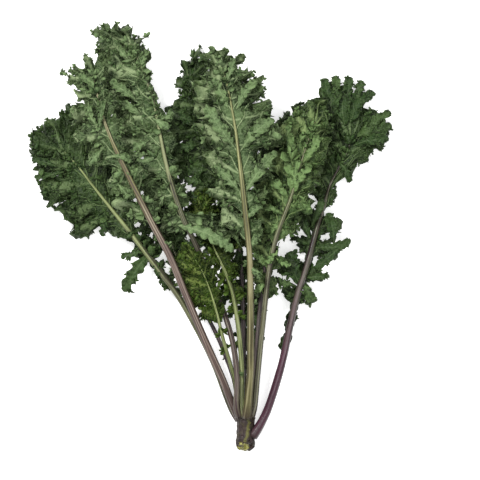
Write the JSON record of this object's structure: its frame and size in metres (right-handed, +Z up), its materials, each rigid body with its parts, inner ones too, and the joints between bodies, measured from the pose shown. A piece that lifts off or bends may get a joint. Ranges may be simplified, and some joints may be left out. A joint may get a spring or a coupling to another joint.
{
  "type": "purple kale bunch",
  "caption": "Cut bunch of curly purple-stalked kale lying fanned out: long ribbed stalks from one crown, with lobed, waved leaf blades.",
  "frame": {"origin": "middle of the bounding box in plan, on the surface the bunch lies on", "axes": "+Y from the cut crown towards the leaves' ends, +X across the fan to the right as seen from above, +Z up"},
  "size_m": [0.38, 0.4503, 0.0783],
  "materials": {
    "crown": "matt, fibrous bark with a raw cut end",
    "olive_stalk": "satin, faintly ribbed and waxy",
    "plum_stalk": "satin, faintly ribbed and waxy",
    "purple_stalk": "satin, faintly ribbed and waxy",
    "lime_stalk": "satin, faintly ribbed and waxy",
    "mauve_stalk": "satin, faintly ribbed and waxy",
    "straw_stalk": "satin, faintly ribbed and waxy",
    "deep_green": "matt, crinkled leaf with a light wax bloom",
    "pale_green": "matt, crinkled leaf with a light wax bloom",
    "bright_green": "matt, crinkled leaf with a light wax bloom"
  },
  "bodies": {
    "root": {"crown": "crown", "leaf_far_left_stalk": "olive_stalk", "leaf_far_left_blade": "deep_green", "leaf_left_back_stalk": "plum_stalk", "leaf_left_back_blade": "deep_green", "leaf_centre_back_stalk": "plum_stalk", "leaf_centre_back_blade": "deep_green", "leaf_right_back_stalk": "plum_stalk", "leaf_right_back_blade": "deep_green", "leaf_far_right_stalk": "purple_stalk", "leaf_far_right_blade": "deep_green", "leaf_tall_left_stalk": "plum_stalk", "leaf_tall_left_blade": "pale_green", "leaf_young_left_stalk": "lime_stalk", "leaf_young_left_blade": "bright_green", "leaf_young_centre_stalk": "lime_stalk", "leaf_young_centre_blade": "bright_green", "leaf_right_front_stalk": "olive_stalk", "leaf_right_front_blade": "bright_green", "leaf_left_front_stalk": "mauve_stalk", "leaf_left_front_blade": "pale_green", "leaf_centre_front_stalk": "straw_stalk", "leaf_centre_front_blade": "pale_green"}
  },
  "joints": []
}
